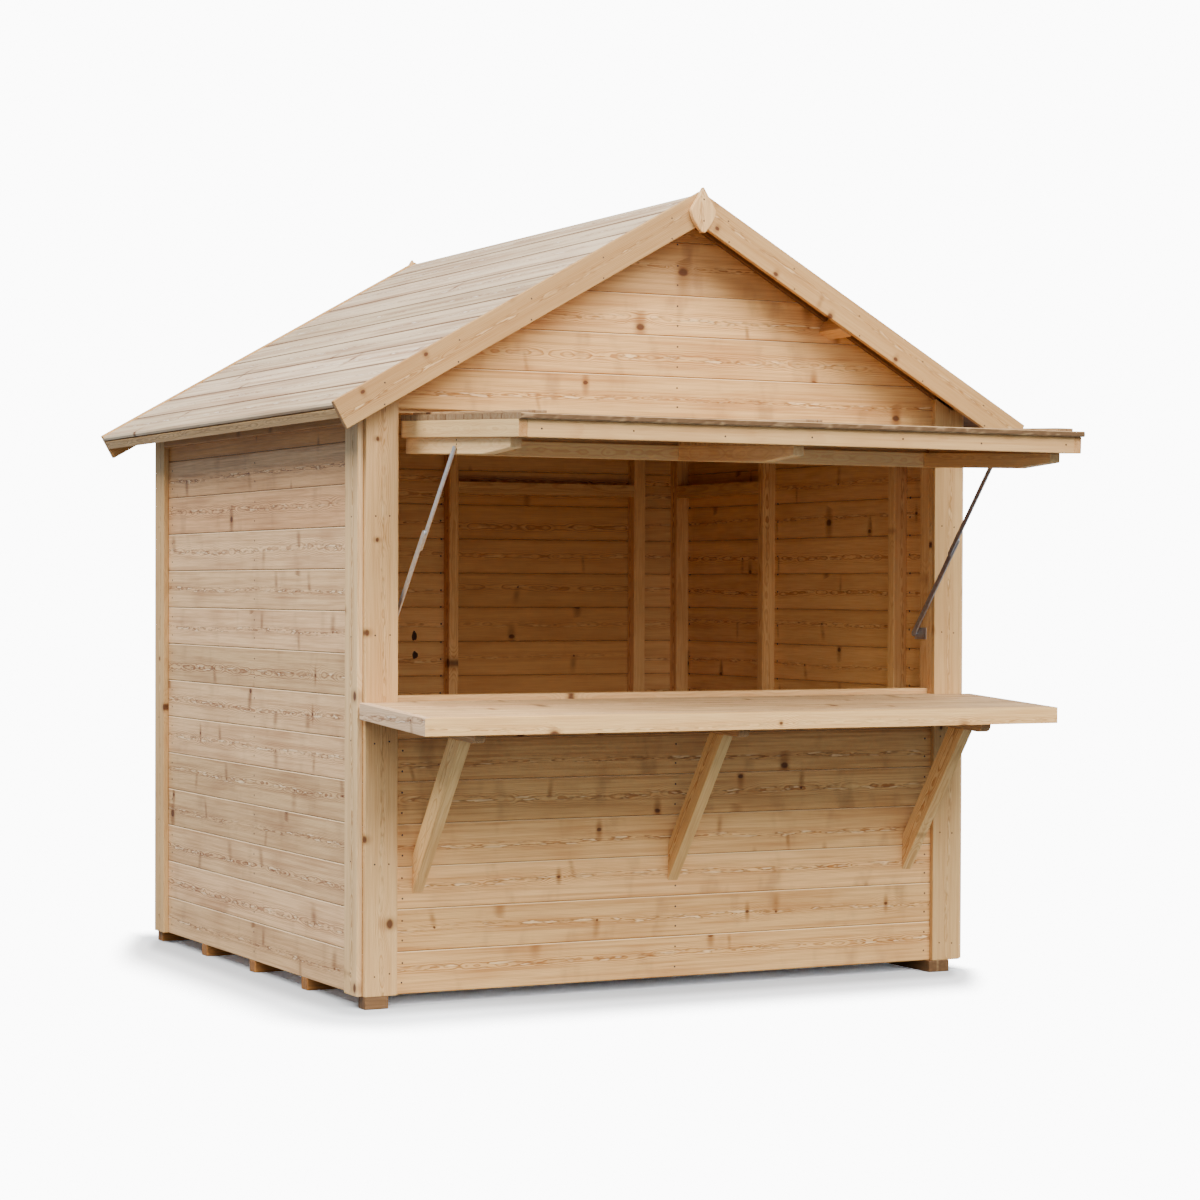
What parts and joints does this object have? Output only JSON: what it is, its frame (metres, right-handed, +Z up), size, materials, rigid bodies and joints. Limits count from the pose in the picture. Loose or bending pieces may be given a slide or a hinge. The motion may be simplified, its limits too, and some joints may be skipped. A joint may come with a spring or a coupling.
{
  "type": "wooden market stall",
  "caption": "Gabled timber market stall with boarded walls, a serving opening under a top-hung flap on stays, a bracketed counter and a plank door at the back.",
  "frame": {"origin": "on the ground, in the middle of the underside of the bearer that lies across the middle of the floor", "axes": "-Y faces the customer, +Y runs to the back along the ridge, +Z is up"},
  "size_m": [2.5716, 3.1432, 2.6415],
  "materials": {
    "wall_pine": "planed, untreated",
    "roof_pine": "planed, weathered pale",
    "bearer_pine": "impregnated, rough",
    "frame_pine": "planed, untreated",
    "zinc_steel": "zinc plated"
  },
  "bodies": {
    "stall": {"floor_bearers": "bearer_pine", "front_feet": "bearer_pine", "floor_deck": "wall_pine", "front_wall": "wall_pine", "front_gable": "wall_pine", "jamb_linings": "wall_pine", "left_wall": "wall_pine", "right_wall": "wall_pine", "back_wall_left": "wall_pine", "back_wall_right": "wall_pine", "back_gable": "wall_pine", "corner_posts": "frame_pine", "wall_studs": "frame_pine", "door_posts": "frame_pine", "head_rails": "frame_pine", "header": "frame_pine", "sill_rail": "frame_pine", "sill": "wall_pine", "front_trims": "wall_pine", "side_trims": "wall_pine", "side_friezes": "wall_pine", "back_trims": "wall_pine", "roof_purlins": "frame_pine", "roof_left": "roof_pine", "roof_right": "roof_pine", "eave_battens": "wall_pine", "front_barge_left": "wall_pine", "front_barge_right": "wall_pine", "back_barge_left": "wall_pine", "back_barge_right": "wall_pine", "finials": "wall_pine", "counter": "wall_pine", "counter_arms": "wall_pine", "counter_struts": "wall_pine", "flap_hinge_leaves": "zinc_steel", "stay_post_plates": "zinc_steel", "door_hinge_plates": "zinc_steel"},
    "flap": {"flap_boards": "wall_pine", "flap_side_rails": "wall_pine", "flap_cross_rails": "wall_pine", "flap_arms": "wall_pine", "flap_rear_rails": "wall_pine", "flap_cleats": "wall_pine", "flap_straps": "zinc_steel", "stay_arm_pins": "zinc_steel"},
    "left_lower_stay": {"left_lower_bar": "zinc_steel"},
    "left_upper_stay": {"left_upper_bar": "zinc_steel"},
    "right_lower_stay": {"right_lower_bar": "zinc_steel"},
    "right_upper_stay": {"right_upper_bar": "zinc_steel"},
    "door": {"door_leaf": "wall_pine", "door_battens": "wall_pine", "door_straps": "zinc_steel", "door_handle": "zinc_steel"}
  },
  "joints": [
    {"name": "flap_hinge", "type": "hinge", "parent": "stall", "child": "flap", "pos_m": [0, -1.008, 1.876], "axis": [1, 0, 0], "range_deg": [0, 87.6]},
    {"name": "left_lower_pivot", "type": "hinge", "parent": "stall", "child": "left_lower_stay", "pos_m": [-0.9925, -0.918, 1.178], "axis": [-1, 0, 0], "range_deg": [0, 42.99]},
    {"name": "left_upper_pivot", "type": "hinge", "parent": "flap", "child": "left_upper_stay", "pos_m": [-0.986, -1.40325, 1.75434], "axis": [-1, 0, 0], "range_deg": [0, 130.59]},
    {"name": "right_lower_pivot", "type": "hinge", "parent": "stall", "child": "right_lower_stay", "pos_m": [0.9925, -0.918, 1.178], "axis": [-1, 0, 0], "range_deg": [0, 42.99]},
    {"name": "right_upper_pivot", "type": "hinge", "parent": "flap", "child": "right_upper_stay", "pos_m": [0.986, -1.40325, 1.75434], "axis": [-1, 0, 0], "range_deg": [0, 130.59]},
    {"name": "door_hinge", "type": "hinge", "parent": "stall", "child": "door", "pos_m": [0.8685, 1.013, 0.9], "axis": [0, 0, -1], "range_deg": [0, 100]}
  ],
  "couplings": [
    {"joint": "left_lower_pivot", "follows": "flap_hinge", "ratio": 0.49061},
    {"joint": "left_upper_pivot", "follows": "flap_hinge", "ratio": 1.4906},
    {"joint": "right_lower_pivot", "follows": "flap_hinge", "ratio": 0.49061},
    {"joint": "right_upper_pivot", "follows": "flap_hinge", "ratio": 1.4906}
  ]
}
